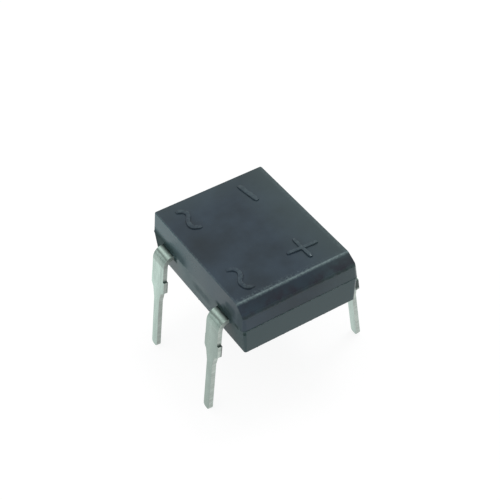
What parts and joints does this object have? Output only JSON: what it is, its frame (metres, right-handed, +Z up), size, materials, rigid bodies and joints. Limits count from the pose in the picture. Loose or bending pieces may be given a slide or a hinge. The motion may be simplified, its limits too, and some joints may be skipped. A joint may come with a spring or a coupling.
{
  "type": "bridge rectifier",
  "caption": "Bridge rectifier in a black moulded case with a bevelled end, raised polarity marks on top, and flat tinned leads bent down along both sides.",
  "frame": {"origin": "on the plane of the lead tips, under the middle of the case", "axes": "+X from the AC leads to the DC leads, +Y from the bevelled end to the other end, +Z up from the lead tips to the top of the case"},
  "size_m": [0.0091, 0.0084, 0.0071],
  "materials": {
    "moulding": "moulded epoxy with a fine sparkle of filler",
    "tinned_lead": "matte tin plating over copper",
    "silicon": "lapped silicon with metallised faces",
    "solder": "dull reflowed solder"
  },
  "bodies": {
    "root": {"moulded_case": "moulding", "lead_ac_back": "tinned_lead", "lead_ac_front": "tinned_lead", "lead_minus": "tinned_lead", "lead_plus": "tinned_lead", "die_back_left": "silicon", "die_back_right": "silicon", "die_front_left": "silicon", "die_front_right": "silicon", "solder_under_die_back_left": "solder", "solder_under_die_back_right": "solder", "solder_under_die_front_left": "solder", "solder_under_die_front_right": "solder", "solder_over_die_back_left": "solder", "solder_over_die_back_right": "solder", "solder_over_die_front_left": "solder", "solder_over_die_front_right": "solder"}
  },
  "joints": []
}
